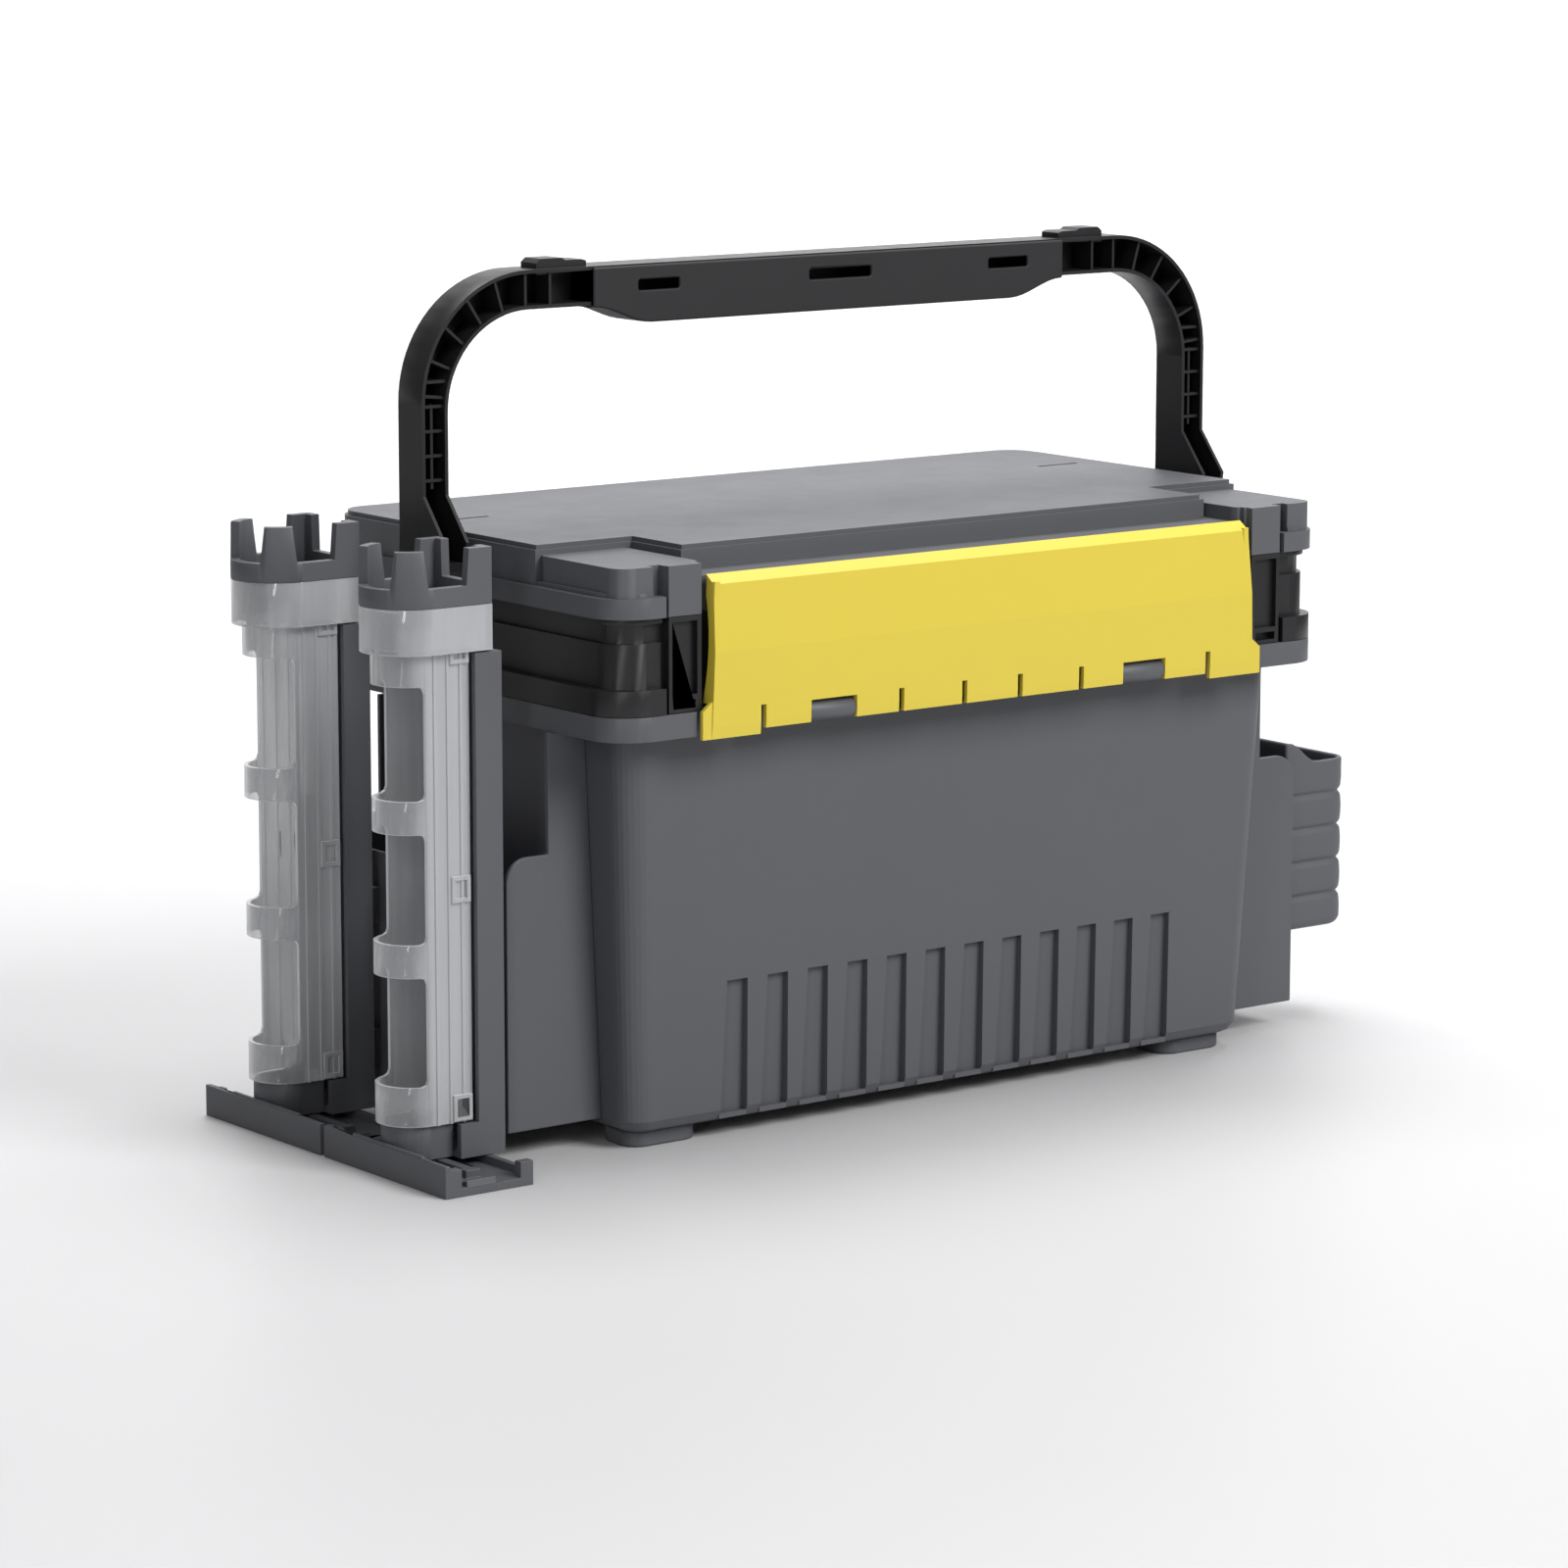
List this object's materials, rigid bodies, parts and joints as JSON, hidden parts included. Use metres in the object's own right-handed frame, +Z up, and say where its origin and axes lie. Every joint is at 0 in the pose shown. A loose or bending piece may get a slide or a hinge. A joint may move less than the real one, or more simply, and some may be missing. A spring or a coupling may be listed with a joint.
{
  "type": "tackle and tool box with lift-out tray",
  "caption": "Lidded carry box with tray frame, wide front latch, arch handle, clear tool holders on a side rail and an open side cup.",
  "frame": {"origin": "on the floor, under the middle of the whole object's bounding box", "axes": "+Z up, +X to the right seen from the front, front face and latch towards -Y"},
  "size_m": [0.5996, 0.2586, 0.4096],
  "materials": {
    "grey_body": "fine moulded grain",
    "black_moulding": "fine moulded grain",
    "tray_insert": "satin",
    "yellow_latch": "satin gloss",
    "grip_cover": "soft matte",
    "clear_sleeve": "clear moulded plastic",
    "pin_steel": "turned"
  },
  "bodies": {
    "box": {"tub": "grey_body", "tub_rim": "grey_body", "feet": "grey_body", "left_carrier": "grey_body", "right_carrier": "grey_body", "latch_pins": "pin_steel", "frame_hinge_pins": "pin_steel", "front_rail": "grey_body", "rear_rail": "grey_body", "holder_clips": "grey_body", "front_holder_channel": "grey_body", "front_holder_sleeve": "clear_sleeve", "front_holder_crown": "grey_body", "front_holder_foot": "grey_body", "rear_holder_channel": "grey_body", "rear_holder_sleeve": "clear_sleeve", "rear_holder_crown": "grey_body", "rear_holder_foot": "grey_body", "side_cup": "grey_body"},
    "tray": {"tray_frame": "black_moulding", "organiser_tray": "tray_insert", "tray_dividers": "tray_insert", "lid_hinge_pins": "pin_steel"},
    "lid": {"lid": "grey_body", "strap_eyes": "black_moulding", "handle_pins": "black_moulding"},
    "latch": {"latch": "yellow_latch"},
    "handle": {"handle": "black_moulding", "handle_grip": "grip_cover"}
  },
  "joints": [
    {"name": "tray_hinge", "type": "hinge", "parent": "box", "child": "tray", "pos_m": [0.01117, 0.1243, 0.2128], "axis": [-1, 0, 0], "range_deg": [0, 95]},
    {"name": "lid_hinge", "type": "hinge", "parent": "tray", "child": "lid", "pos_m": [0.01117, 0.1243, 0.2575], "axis": [-1, 0, 0], "range_deg": [0, 105]},
    {"name": "latch_hinge", "type": "hinge", "parent": "box", "child": "latch", "pos_m": [0.01117, -0.1239, 0.2043], "axis": [1, 0, 0], "range_deg": [0, 150]},
    {"name": "handle_pivot", "type": "hinge", "parent": "lid", "child": "handle", "pos_m": [0.01117, -0.0006, 0.2645], "axis": [1, 0, 0], "range_deg": [-66, 70]}
  ]
}
